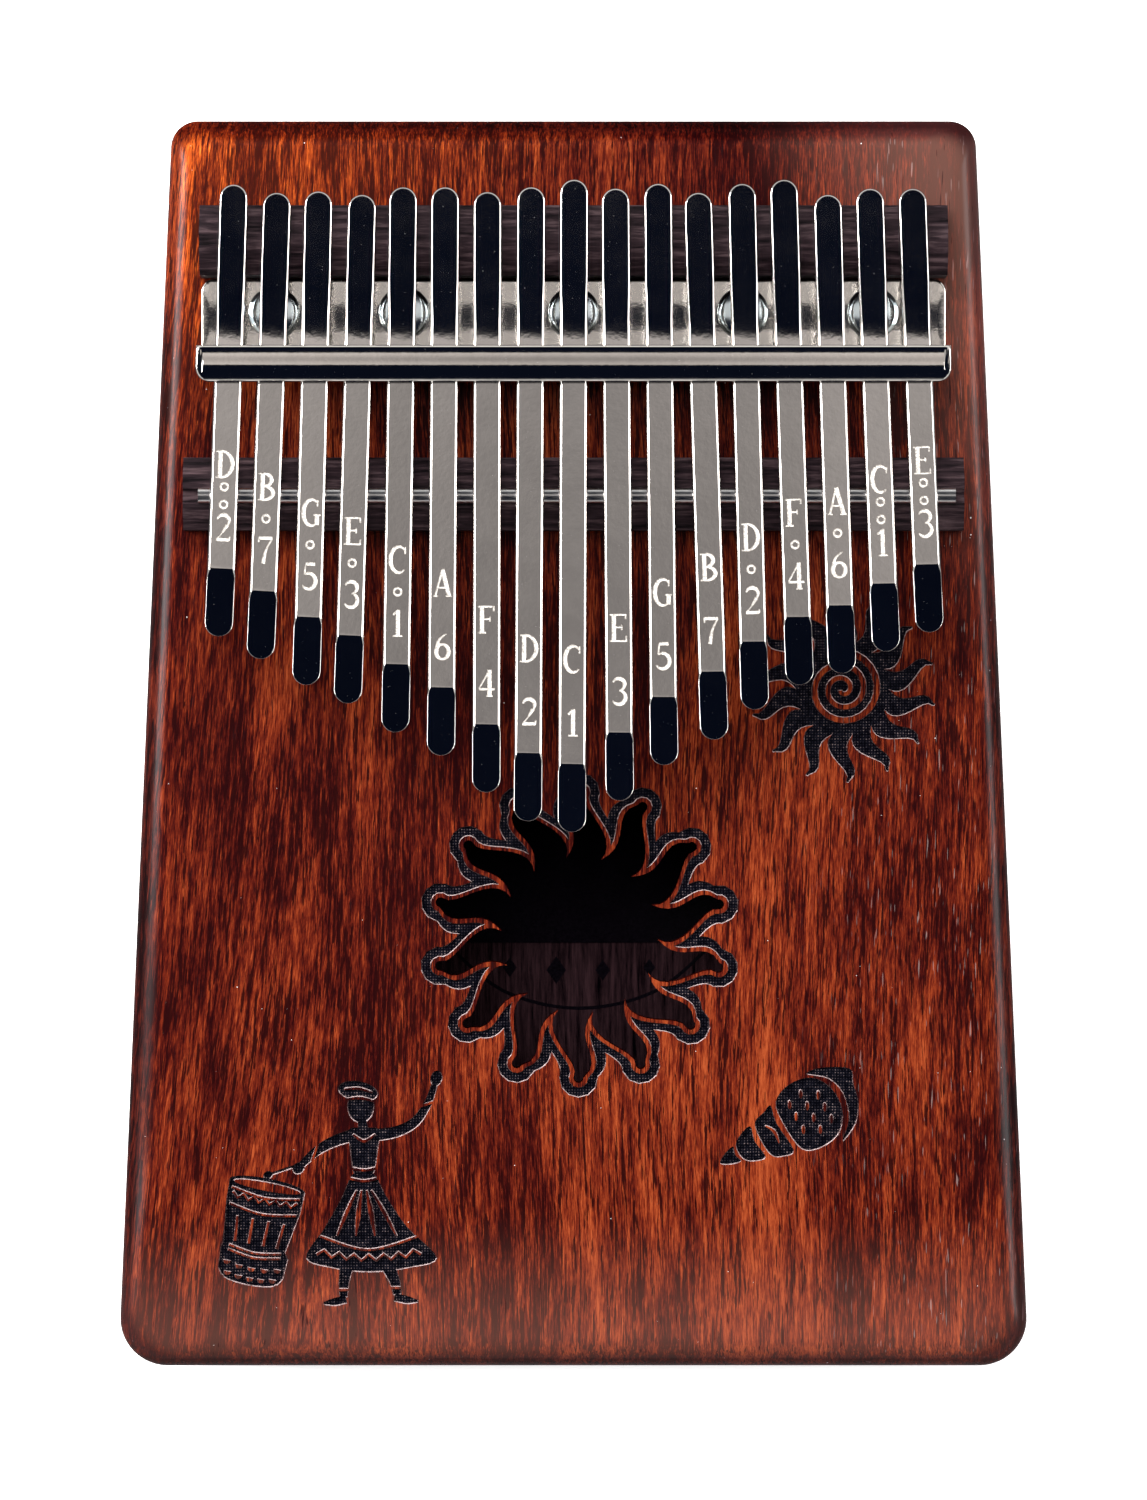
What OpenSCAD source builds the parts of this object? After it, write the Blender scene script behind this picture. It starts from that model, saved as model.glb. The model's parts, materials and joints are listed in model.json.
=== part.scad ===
// Seventeen-tine box mbira (kalimba): a tapered wooden sound box with steel tines.
// +X is to the player's right, +Y runs from the player towards the far end, +Z is up.
// The origin is the middle of the box's underside, and all sizes are in millimetres.

/* [Box] */
// Length of the box along the tines
box_len = 185; // [175:1:200]
// Width of the box at the player's end
box_w_front = 135.4; // [128:0.2:142]
// Width of the box at the far end
box_w_rear = 119.4; // [116:0.2:124]
// Height of the wooden box without the tines
box_h = 21; // [19:0.5:26]
// Thickness of the soundboard
soundboard_t = 5; // [4.8:0.1:6]
// Thickness of the back board
back_t = 3; // [2.5:0.5:4]
// Thickness of the side and end walls
wall_t = 8; // [6:0.5:10]
// Plan radius of the two corners at the player's end
corner_front = 7; // [5:0.5:12]
// Plan radius of the two corners at the far end
corner_rear = 4; // [3:0.5:9]
// How much larger the corner radius becomes at the top face
corner_growth = 1.5; // [0:0.5:3]
// Width of the rounding along the soundboard's edge
edge_round = 4.8; // [3:0.1:4.8]
// Extra width of the rounding where the hands hold the sides
scoop = 2.8; // [0:0.1:3.5]

/* [Sound hole] */
// Number of flame rays round the sun-shaped hole
hole_rays = 14; // [10:1:16]
// Radius at the notches between the rays
hole_r_notch = 11.6; // [10:0.1:13]
// Radius at the tips of the rays
hole_r_tip = 21.9; // [18:0.1:23]
// Sideways place of the hole's centre
hole_x = 0.9; // [-2:0.1:2]
// Lengthways place of the hole's centre
hole_y = -28.4; // [-34:0.1:-24]

/* [Tines] */
// Width of each tine
tine_w = 4.1; // [3.6:0.1:4.4]
// Thickness of each tine
tine_t = 0.9; // [0.7:0.1:1.1]
// Spacing of the tines where they pass under the pressure bar
tine_pitch = 6.33; // [6.2:0.01:6.5]
// Upward slope of the free part of a tine, in degrees
front_slope = 2.4; // [1.5:0.1:3]
// Upward slope of the far part of a tine, in degrees
rear_slope = 4; // [3:0.1:4.5]
// Further upward bend of the playing tip, in degrees
tip_bend = 9; // [0:0.5:15]
// Length of the bent playing tip
tip_len = 10; // [8:0.5:11]

/* [Hardware] */
// Lengthways place of the bridge rod
rod_y = 36.4; // [35:0.1:38]
// Radius of the bridge rod
rod_r = 1.15; // [1:0.05:1.4]
// Height of the rod's crest above the soundboard
rod_top = 7.9; // [7:0.1:9]
// Thickness of the bracket's sheet steel
sheet_t = 1.4; // [1:0.1:1.5]
// Radius of a screw head
screw_head_r = 3.85; // [3.4:0.05:4]

/* [Hidden] */
tine_count = 17;
middle_tine = 9;
// From the player's left to right: how far each tine reaches in front of the rod,
// where its far end lies, and how many degrees its tip turns towards the player's right.
tine_reach = [20.8, 24.1, 27.9, 30.6, 34.8, 38.2, 43.6, 47.8, 49.4, 44.8, 39.6, 35.9, 31.5,
    27.9, 26.2, 23, 20.2];
tine_far_end = [81.9, 80.7, 80.9, 80.4, 81.5, 81.5, 80.8, 81.5, 82.6, 81.3, 82, 80.7, 82,
    82.6, 80.4, 81.3, 81.3];
tine_lean = [-1.9, -2, -1.4, -1.6, -0.8, -0.4, -0.1, -0.3, -0.2, 0.4, 0.6, 1.7, 1.4, 1.8,
    1.7, 2, 2.2];
note_names = ["d6", "b5", "g5", "e5", "c5", "a4", "f4", "d4", "c4", "e4", "g4", "b4", "d5",
    "f5", "a5", "c6", "e6"];

function tail_node(i) = str("tine_", note_names[i - 1], "_tail");
function blade_node(i) = str("tine_", note_names[i - 1], "_blade");

board_top = box_h;
board_under = box_h - soundboard_t;
taper = (box_w_front - box_w_rear) / 2 / box_len;
taper_angle = atan(taper);
mid_half_w = (box_w_front + box_w_rear) / 4;
arc_steps = 8;
side_steps = 24;
round_steps = 6;

// The hands' scoop is widest at scoop_y, and fades over these lengths.
scoop_y = -59;
scoop_fade_rear = 62;
scoop_fade_front = 18;

// Bracket: the riser stands behind the lip, and the flange lies behind the riser.
bar_y = 55.65;
bar_w = 5.4;
bar_len = 110.7;
bar_corner = 2;
bar_h = 2.3;
lip_gap = 0.15;
flange_len = 110.2;
flange_rear = 68.7;
flange_corner = 2;
slot_clearance = 0.35;
slot_floor = 0.35;
slot_ceiling = 0.45;
screw_xs = [-44.2, -25, 0, 25, 44.2];
// How far each screw's recess is turned, in degrees
screw_turn = [16, 40, 0, 50, 74];
screw_y = 63.6;
screw_r = 1.75;
pilot_clearance = 0.05;
screw_len = 13;
screw_head_h = 2.2;
screw_rim_h = 0.5;
flange_hole_r = 2.1;
recess_span = 4.2;
recess_w = 1;
recess_depth = 1.2;

// Bridges
rear_bridge_y = 73.95;
rear_bridge_w = 10.3;
rear_bridge_len = 110;
rear_crown_r = 8.5;
rear_gap = 0.18;
front_bridge_y = 36.75;
front_bridge_w = 10.7;
front_bridge_len = 115;
front_ridge_w = 4.2;
front_ridge_h = 6.3;
front_edge_h = 4.2;
rod_x = 0.5;
rod_len = 111.3;
rod_gap = 0.15;
rod_seat_gap = 0.02;

// Inner pieces
block_y = [57, 71];
block_half_len = 50;
block_h = 10;
label_size = [52, 26];
label_y = -17;
label_t = 0.2;

// Rounding of the back board's outer edge
back_round = 1.6;

// A tine bends between these two places, and its free part starts at split_y.
bend_front = 53;
bend_rear = 62;
bend_steps = 6;
split_y = rod_y - 0.6;
split_gap = 0.08;
cap_steps = 10;

function flatten(lists) = [for (l = lists) for (p = l) p];
function unit_clamp(v) = max(0, min(1, v));
function smooth(v) = let (u = unit_clamp(v)) u * u * (3 - 2 * u);

// ---- Box outline: each entry is [x, y, normal x, normal y], anticlockwise ----
// The outline can be drawn inset all round, with its corner radii enlarged by grow.

// Centre of the corner arc of radius r at the player's end (-1) or the far end (1).
function corner_centre(r, end, inset) =
    let (y = end * (box_len / 2 - inset - r))
    [mid_half_w - taper * y - (inset + r) / cos(taper_angle), y];

function arc(c, r, from, to) = [
    for (k = [0:arc_steps])
        let (a = from + (to - from) * k / arc_steps)
        [c[0] + r * cos(a), c[1] + r * sin(a), cos(a), sin(a)]
];

function right_side(steps, inset, grow) =
    let (
        r_front = corner_front + grow,
        r_rear = corner_rear + grow,
        a = arc(corner_centre(r_front, -1, inset), r_front, -90, taper_angle),
        b = arc(corner_centre(r_rear, 1, inset), r_rear, taper_angle, 90),
        from = a[arc_steps],
        to = b[0]
    )
    concat(
        a,
        steps < 2 ? [] : [for (k = [1:steps - 1]) from + (to - from) * k / steps],
        b
    );

function mirrored(points) = [
    for (k = [len(points) - 1:-1:0])
        let (p = points[k])
        [-p[0], p[1], -p[2], p[3]]
];

function outline(steps, inset, grow) =
    let (side = right_side(steps, inset, grow))
    concat(side, mirrored(side));

// Level ring of points with straight sides, inset from the box's outline.
function plain_ring(inset, z) = [for (p = outline(1, inset, 0)) [p[0], p[1], z]];

// Width that the hands' scoop adds to the edge's rounding at outline entry p.
function scoop_width(p) =
    let (side = abs(p[2]) > 0.99 ? 1 : 0, d = p[1] - scoop_y)
    scoop * side * smooth(1 - (d > 0 ? d / scoop_fade_rear : -d / scoop_fade_front));

// One level of the soundboard's rounded edge, where a runs from 0 at the side to 90 at the top.
function round_ring(a) =
    let (share = 1 - cos(a), z = board_top - edge_round * (1 - sin(a)))
    [
        for (p = outline(side_steps, edge_round * share, corner_growth * share))
            [p[0] - p[2] * scoop_width(p) * share, p[1] - p[3] * scoop_width(p) * share, z]
    ];

// A closed solid through level rings of points, from the lowest to the highest.
module loft(rings) {
    n = len(rings[0]);
    levels = len(rings);
    polyhedron(
        points = flatten(rings),
        faces = concat(
            [[for (k = [0:n - 1]) k]],
            [[for (k = [n - 1:-1:0]) (levels - 1) * n + k]],
            [
                for (j = [0:levels - 2], k = [0:n - 1], half = [0, 1])
                    let (a = j * n + k, d = j * n + (k + 1) % n)
                    half == 0 ? [a, a + n, d + n] : [a, d + n, d]
            ]
        )
    );
}

// ---- Sun-shaped sound hole ----

hole_first_ray = 9.7;
hole_tip_half = 0.75;
hole_swing = 70;
hole_edge_steps = 7;
hole_notch_half = hole_r_notch * sin(180 / hole_rays);
hole_tip_centre = hole_r_tip - hole_tip_half;

// At share u of its length, a ray's middle line swings this many degrees from its direction.
function ray_swing(u) = hole_swing * u * (u - 0.51) * (1 - 0.92 * u);
function ray_half(u) = hole_tip_half + (hole_notch_half - hole_tip_half) * (1 - u * u);
function ray_edge(dir, u, sign) =
    let (
        r = hole_r_notch + (hole_tip_centre - hole_r_notch) * u,
        a = dir + ray_swing(u) + sign * asin(ray_half(u) / r)
    )
    [r * cos(a), r * sin(a)];
function ray_cap(dir) =
    let (a = dir + ray_swing(1))
    [
        for (c = [-60, 0, 60])
            [
                hole_tip_centre * cos(a) + hole_tip_half * cos(a + c),
                hole_tip_centre * sin(a) + hole_tip_half * sin(a + c)
            ]
    ];
function sun_points() = flatten([
    for (k = [0:hole_rays - 1])
        let (dir = k * 360 / hole_rays + hole_first_ray)
        concat(
            [for (j = [0:hole_edge_steps]) ray_edge(dir, j / hole_edge_steps, -1)],
            ray_cap(dir),
            [for (j = [hole_edge_steps:-1:1]) ray_edge(dir, j / hole_edge_steps, 1)]
        )
]);

// ---- Wooden box ----

module soundboard() {
    color("saddlebrown")
    difference() {
        loft(concat(
            [[for (p = outline(side_steps, 0, 0)) [p[0], p[1], board_under]]],
            [for (j = [0:round_steps]) round_ring(90 * j / round_steps)]
        ));
        translate([hole_x, hole_y, board_under - 1])
            linear_extrude(height = soundboard_t + 2) polygon(sun_points());
        for (x = screw_xs)
            translate([x, screw_y, board_under - 1])
                cylinder(r = screw_r + pilot_clearance, h = soundboard_t + 2, $fn = 48);
    }
}

// The wall on one side: 1 is the player's right, and -1 the left.
module side_wall(sign) {
    color("saddlebrown")
    intersection() {
        translate([0, 0, back_t])
            linear_extrude(height = board_under - back_t)
                polygon([for (p = outline(1, 0, 0)) [p[0], p[1]]]);
        translate([sign * mid_half_w, 0, 0])
            rotate([0, 0, sign * taper_angle])
                translate([sign > 0 ? -wall_t : -2 * wall_t, -box_len, 0])
                    cube([3 * wall_t, 2 * box_len, box_h]);
    }
}

// Half the width between the side walls' inner faces.
function inner_half(y) = mid_half_w - taper * y - wall_t / cos(taper_angle);

// The wall across one end: 1 is the far end, and -1 the player's end.
module end_wall(sign) {
    outer = sign * box_len / 2;
    inner = outer - sign * wall_t;
    color("saddlebrown")
    translate([0, 0, back_t])
        linear_extrude(height = board_under - back_t)
            polygon([
                [-inner_half(outer), outer], [inner_half(outer), outer],
                [inner_half(inner), inner], [-inner_half(inner), inner]
            ]);
}

module back_board() {
    color("saddlebrown")
    loft(concat(
        [
            for (a = [0:30:90])
                plain_ring(back_round * (1 - sin(a)), back_round * (1 - cos(a)))
        ],
        [plain_ring(0, back_t)]
    ));
}

module screw_block() {
    color("burlywood")
    difference() {
        translate([-block_half_len, block_y[0], board_under - block_h])
            cube([2 * block_half_len, block_y[1] - block_y[0], block_h]);
        for (x = screw_xs)
            translate([x, screw_y, board_under - block_h - 1])
                cylinder(r = screw_r + pilot_clearance, h = block_h + 2, $fn = 48);
    }
}

module inner_label() {
    color("black")
    translate([hole_x - label_size[0] / 2, label_y - label_size[1] / 2, back_t])
        cube([label_size[0], label_size[1], label_t]);
}

// ---- Bridges and bracket ----

// Extrudes a shape drawn in Y and Z along X, centred.
module along_x(length) {
    rotate([90, 0, 90]) linear_extrude(height = length, center = true) children();
}

rear_crown_top = board_top + tine_under(rear_bridge_y) - rear_gap;

module rear_bridge() {
    color("dimgray")
    along_x(rear_bridge_len)
        intersection() {
            translate([rear_bridge_y - rear_bridge_w / 2, board_top])
                square([rear_bridge_w, rear_crown_top - board_top]);
            translate([rear_bridge_y, rear_crown_top - rear_crown_r])
                circle(r = rear_crown_r, $fn = 96);
        }
}

module front_bridge() {
    edge = front_bridge_w / 2;
    ridge = front_ridge_w / 2;
    color("dimgray")
    along_x(front_bridge_len)
        translate([front_bridge_y, board_top])
            difference() {
                polygon([
                    [-edge, 0], [edge, 0], [edge, front_edge_h], [ridge, front_ridge_h],
                    [-ridge, front_ridge_h], [-edge, front_edge_h]
                ]);
                translate([rod_y - front_bridge_y, rod_top - rod_r])
                    circle(r = rod_r + rod_seat_gap, $fn = 48);
            }
}

module bridge_rod() {
    color("silver")
    translate([rod_x - rod_len / 2, rod_y, board_top + rod_top - rod_r])
        rotate([0, 90, 0]) cylinder(r = rod_r, h = rod_len, $fn = 48);
}

lip_y = bar_y - bar_w / 2;
riser_y = bar_y + bar_w / 2;
riser_front = riser_y - sheet_t;
lip_z = tine_under(lip_y) + tine_t + lip_gap;
bar_top = lip_z + bar_h;
slot_z = tine_under(riser_front) - slot_floor;
slot_h = tine_t + slot_floor + slot_ceiling;

// Twice the radii of the bar's crown: a nearly flat middle, with a tighter curve before
// crown_front and another behind crown_rear.
crown_y = 55.9;
crown_front = 55.25;
crown_rear = 57.3;
crown_d = 30;
crown_front_d = 5.2;
crown_rear_d = 6;
crown_steps = 12;
function crown_drop(y) =
    let (front = max(0, crown_front - y), rear = max(0, y - crown_rear))
    pow(y - crown_y, 2) / crown_d + pow(front, 2) / crown_front_d + pow(rear, 2) / crown_rear_d;

// The bracket's cross-section without its flange, drawn in Y and height above the board.
module bar_section() {
    difference() {
        union() {
            polygon(concat(
                [[riser_y, lip_z], [lip_y, lip_z]],
                [
                    for (k = [0:crown_steps])
                        let (y = lip_y + bar_w * k / crown_steps)
                        [y, bar_top - crown_drop(y)]
                ]
            ));
            translate([riser_front, 0]) square([sheet_t, lip_z + bar_h / 2]);
        }
        translate([lip_y + sheet_t, 0]) square([bar_w - 2 * sheet_t, bar_top - sheet_t]);
    }
}

// A flat outline with its two corners on one side rounded: sign 1 is the +Y side.
module half_rounded(length, y_from, y_to, r, sign) {
    square_from = sign > 0 ? y_from : y_from + r;
    square_to = sign > 0 ? y_to - r : y_to;
    strip = sign > 0 ? y_to - r : y_from;
    translate([-length / 2, square_from]) square([length, square_to - square_from]);
    translate([-length / 2 + r, strip]) square([length - 2 * r, r]);
    for (x = [-length / 2 + r, length / 2 - r])
        translate([x, sign > 0 ? y_to - r : y_from + r]) circle(r = r, $fn = 48);
}

module pressure_bracket() {
    color("silver")
    translate([0, 0, board_top])
        difference() {
            union() {
                intersection() {
                    along_x(bar_len) bar_section();
                    linear_extrude(height = bar_top + 1)
                        half_rounded(bar_len, lip_y, riser_y, bar_corner, -1);
                }
                linear_extrude(height = sheet_t)
                    half_rounded(flange_len, riser_front, flange_rear, flange_corner, 1);
            }
            for (i = [1:tine_count])
                translate([
                    (i - middle_tine) * tine_pitch - tine_w / 2 - slot_clearance,
                    riser_front - sheet_t / 2,
                    slot_z
                ])
                    cube([tine_w + 2 * slot_clearance, 2 * sheet_t, slot_h]);
            for (x = screw_xs)
                translate([x, screw_y, -1])
                    cylinder(r = flange_hole_r, h = sheet_t + 2, $fn = 48);
        }
}

module bracket_screws() {
    dome_h = screw_head_h - screw_rim_h;
    dome_r = (screw_head_r * screw_head_r + dome_h * dome_h) / (2 * dome_h);
    color("lightgray")
    for (k = [0:len(screw_xs) - 1])
        translate([screw_xs[k], screw_y, board_top + sheet_t])
            difference() {
                union() {
                    intersection() {
                        cylinder(r = screw_head_r, h = screw_head_h, $fn = 64);
                        translate([0, 0, screw_head_h - dome_r]) sphere(r = dome_r, $fn = 96);
                    }
                    translate([0, 0, -screw_len]) cylinder(r = screw_r, h = screw_len, $fn = 48);
                }
                for (turn = [0, 90])
                    rotate([0, 0, turn + screw_turn[k]])
                        translate([-recess_span / 2, -recess_w / 2, screw_head_h - recess_depth])
                            cube([recess_span, recess_w, screw_head_h]);
            }
}

// ---- Tines ----

// Height of a tine's underside above the soundboard, without its bent tip.
function tine_under(y) =
    let (
        f = tan(front_slope),
        b = tan(rear_slope),
        straight = rod_top + rod_gap + (rod_y - min(y, bend_front)) * f,
        in_bend = max(0, min(y, bend_rear) - bend_front),
        bent = in_bend * in_bend * (f + b) / (2 * (bend_rear - bend_front)) - in_bend * f
    )
    straight + bent + max(0, y - bend_rear) * b;

// A strip whose underside passes through these [y, height] points.
module strip(under) {
    n = len(under);
    translate([0, 0, board_top])
        along_x(tine_w)
            polygon(concat(under, [for (k = [n - 1:-1:0]) under[k] + [0, tine_t]]));
}

// Plan of a strip from y_from to y_to, with a round end at y_round.
module strip_plan(y_square, y_round) {
    r = tine_w / 2;
    dir = y_round > y_square ? 1 : -1;
    centre = y_round - dir * r;
    linear_extrude(height = 3 * box_h)
        polygon(concat(
            [[-r * dir, y_square], [r * dir, y_square]],
            [
                for (k = [0:cap_steps])
                    let (a = 180 * k / cap_steps)
                    [dir * r * cos(a), centre + dir * r * sin(a)]
            ]
        ));
}

// Places children, drawn straight along Y, where tine i passes under the bar.
module tine_place(i) {
    translate([(i - middle_tine) * tine_pitch, bar_y, 0])
        rotate([0, 0, tine_lean[i - 1]])
            translate([0, -bar_y, 0]) children();
}

// The held part, from the far end to just past the rod.
module tine_tail(i) {
    far = tine_far_end[i - 1];
    ys = concat(
        [split_y],
        [for (k = [0:bend_steps]) bend_front + (bend_rear - bend_front) * k / bend_steps],
        [far]
    );
    color("gainsboro")
    tine_place(i)
        intersection() {
            strip([for (y = ys) [y, tine_under(y)]]);
            strip_plan(split_y, far);
        }
}

// The sounding part, from just past the rod to the bent playing tip.
module tine_blade(i) {
    tip = rod_y - tine_reach[i - 1];
    start = split_y - split_gap;
    crease = tip + tip_len;
    color("gainsboro")
    tine_place(i)
        intersection() {
            strip([
                [tip, tine_under(crease) + tip_len * tan(front_slope + tip_bend)],
                [crease, tine_under(crease)],
                [start, tine_under(start)]
            ]);
            strip_plan(start, tip);
        }
}

soundboard();
side_wall(-1);  // side_left
side_wall(1);  // side_right
end_wall(-1);  // end_front
end_wall(1);  // end_rear
back_board();
screw_block();
inner_label();
rear_bridge();
front_bridge();
bridge_rod();
pressure_bracket();
bracket_screws();
for (i = [1:tine_count]) {
    tine_tail(i);
    tine_blade(i);
}
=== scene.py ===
"""The looks of a seventeen-tine box mbira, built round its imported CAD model.

Shapes are worked out in millimetres in the CAD model's own frame (+X right, +Y towards the far end,
+Z up, origin under the middle of the box), and become metres when a mesh is made.
"""

import json
import math

import bmesh
import bpy
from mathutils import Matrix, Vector
from mathutils.geometry import delaunay_2d_cdt


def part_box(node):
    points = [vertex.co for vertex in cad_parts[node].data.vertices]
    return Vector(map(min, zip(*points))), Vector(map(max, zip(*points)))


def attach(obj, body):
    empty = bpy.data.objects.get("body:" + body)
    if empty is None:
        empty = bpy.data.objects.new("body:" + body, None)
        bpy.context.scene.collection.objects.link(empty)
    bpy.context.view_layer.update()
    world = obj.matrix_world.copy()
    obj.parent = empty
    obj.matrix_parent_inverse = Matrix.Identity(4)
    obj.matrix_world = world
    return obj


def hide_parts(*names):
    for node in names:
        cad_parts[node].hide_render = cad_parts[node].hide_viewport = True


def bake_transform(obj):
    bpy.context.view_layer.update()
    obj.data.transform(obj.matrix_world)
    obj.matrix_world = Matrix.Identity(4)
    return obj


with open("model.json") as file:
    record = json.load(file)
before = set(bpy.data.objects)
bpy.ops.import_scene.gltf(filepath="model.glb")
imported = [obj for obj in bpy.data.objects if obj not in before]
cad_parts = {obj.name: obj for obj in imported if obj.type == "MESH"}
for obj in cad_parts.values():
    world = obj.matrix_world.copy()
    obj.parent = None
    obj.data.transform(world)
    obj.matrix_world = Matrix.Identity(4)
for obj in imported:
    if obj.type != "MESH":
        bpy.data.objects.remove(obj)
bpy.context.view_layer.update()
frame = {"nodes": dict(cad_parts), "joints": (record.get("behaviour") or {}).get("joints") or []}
MM = 0.001


def box_mm(node):
    """Lowest and highest corners of a CAD node, in millimetres."""
    low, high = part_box(node)
    return low / MM, high / MM


# ---- Sizes, in millimetres ----

BOARD_UNDER = box_mm("soundboard")[0].z
BOARD_TOP = box_mm("soundboard")[1].z
BACK_T = box_mm("back_board")[1].z
BOX_LEN = 185.0
BOX_W_FRONT = 135.4
BOX_W_REAR = 119.4
CORNER_FRONT = 7.0
CORNER_REAR = 4.0
CORNER_GROWTH = 1.5
EDGE_ROUND = 4.8
SCOOP = 2.8
SCOOP_Y = -59.0
SCOOP_FADE_REAR = 62.0
SCOOP_FADE_FRONT = 18.0

HOLE_CENTRE = (0.9, -28.4)
HOLE_RAYS = 14
HOLE_NOTCH_R = 11.6
HOLE_TIP_R = 21.9
ETCH_DEPTH = 0.35
ETCH_SLOPE = 0.12

TINE_W = 4.1
TINE_T = 0.9
FRONT_SLOPE = math.tan(math.radians(2.4))
REAR_SLOPE = math.tan(math.radians(4.0))
TIP_SLOPE = math.tan(math.radians(2.4 + 9.0))
TIP_LEN = 10.0
ROD_Y = 36.4
ROD_TOP = 7.9
ROD_GAP = 0.15
SPLIT_Y = ROD_Y - 0.64
BEND_FRONT = 53.0
BEND_REAR = 62.0
MARK_DEPTH = 0.18
MARK_SLOPE = 0.08


# ---- Small tools for outlines ----


def lerp(a, b, t):
    return a + (b - a) * t


def smooth(t):
    t = max(0.0, min(1.0, t))
    return t * t * (3 - 2 * t)


def area(loop):
    """Signed area of a flat loop, positive when it runs anticlockwise."""
    total = 0.0
    for (ax, ay), (bx, by) in zip(loop, loop[1:] + loop[:1]):
        total += ax * by - bx * ay
    return total / 2


def arc_points(cx, cy, rx, ry, start, end, steps):
    """Points on an ellipse's arc, with its angles in degrees."""
    points = []
    for k in range(steps + 1):
        a = math.radians(lerp(start, end, k / steps))
        points.append((cx + rx * math.cos(a), cy + ry * math.sin(a)))
    return points


def ellipse(cx, cy, rx, ry, turn=0.0, steps=20):
    c, s = math.cos(math.radians(turn)), math.sin(math.radians(turn))
    level = arc_points(0, 0, rx, ry, 0, 360, steps)[:-1]
    return [(cx + x * c - y * s, cy + x * s + y * c) for x, y in level]


def catmull_rom(a, b, c, d, t):
    """The smooth curve from b at t = 0 to c at t = 1, with a before them and d after."""
    bend, twist = 2 * a - 5 * b + 4 * c - d, 3 * b - a - 3 * c + d
    return 0.5 * (2 * b + (c - a) * t + bend * t * t + twist * t ** 3)


def spline(points, steps=5, closed=False):
    """A smooth (Catmull-Rom) line through points of any dimension."""
    n = len(points)
    spans = n if closed else n - 1
    line = []
    for i in range(spans):
        if closed:
            p = [points[(i + k) % n] for k in (-1, 0, 1, 2)]
        else:
            p = [points[max(0, min(n - 1, i + k))] for k in (-1, 0, 1, 2)]
        for k in range(steps):
            line.append(tuple(catmull_rom(*axis, k / steps) for axis in zip(*p)))
    if not closed:
        line.append(tuple(points[-1]))
    return line


def ribbon(points, steps=5):
    """Outline of a brush stroke through (x, y, width) points."""
    line = spline(points, steps) if len(points) > 2 else points
    left, right = [], []
    for k, (x, y, w) in enumerate(line):
        ax, ay, _ = line[max(0, k - 1)]
        bx, by, _ = line[min(len(line) - 1, k + 1)]
        length = math.hypot(bx - ax, by - ay)
        nx, ny = -(by - ay) / length * w / 2, (bx - ax) / length * w / 2
        left.append((x + nx, y + ny))
        right.append((x - nx, y - ny))
    return left + right[::-1]


def blob(*points, steps=5):
    """A smooth closed outline through points."""
    return spline(points, steps, closed=True)


def zigzag(x0, x1, spans, level, rise, width):
    """A zigzag stroke along level(x), with every other point higher by rise."""
    points = []
    for k in range(spans + 1):
        x = lerp(x0, x1, k / spans)
        points.append((x, level(x) + (rise if k % 2 else 0), width))
    return ribbon(points, 1)


def placed(loops, x, y, turn=0.0, scale=1.0):
    """The loops scaled, turned and moved."""
    c, s = math.cos(math.radians(turn)) * scale, math.sin(math.radians(turn)) * scale
    return [[(x + c * u - s * v, y + s * u + c * v) for u, v in loop] for loop in loops]


def sun_loop(cx, cy, notch_r, tip_r, tip_half, first_ray, swing, grow=0.0, steps=9):
    """Outline of a sun with wavy rays. grow pushes the whole outline outwards.

    A ray's width runs from tip_half at its round tip to the full gap between two notches.
    Its middle line first swings one way and then the other, in proportion to swing degrees.
    """
    half_gap = math.pi / HOLE_RAYS
    notch_half = notch_r * math.sin(half_gap)
    tip_centre = tip_r - tip_half

    def radius(u):
        return lerp(notch_r, tip_centre, u)

    def half(u):
        return tip_half + (notch_half - tip_half) * (1 - u * u) + grow

    def turn(u):
        return math.radians(swing * u * (u - 0.51) * (1 - 0.92 * u))

    def at(distance, angle):
        return cx + distance * math.cos(angle), cy + distance * math.sin(angle)

    notch_u = 0.0
    while half(notch_u) > radius(notch_u) * math.sin(half_gap) + 1e-9 and grow > 0:
        notch_u += 0.01
    loop = []
    for k in range(HOLE_RAYS):
        ray = math.radians(first_ray) + 2 * half_gap * k
        edge = []
        for j in range(steps + 1):
            u = lerp(notch_u, 1.0, j / steps)
            spread = min(half_gap, math.asin(half(u) / radius(u)))
            edge.append((radius(u), turn(u), spread))
        loop += [at(r, ray + t - s) for r, t, s in edge]
        tip_x, tip_y = at(tip_centre, ray + turn(1))
        for c in (-60, -30, 0, 30, 60):
            a = ray + turn(1) + math.radians(c)
            loop.append((tip_x + (tip_half + grow) * math.cos(a), tip_y + (tip_half + grow) * math.sin(a)))
        loop += [at(r, ray + t + s) for r, t, s in edge[:0:-1]]
    return loop


# ---- Small tools for meshes ----


def new_object(name, data):
    """An object that is in the scene and shows data."""
    obj = bpy.data.objects.new(name, data)
    bpy.context.collection.objects.link(obj)
    return obj


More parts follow.
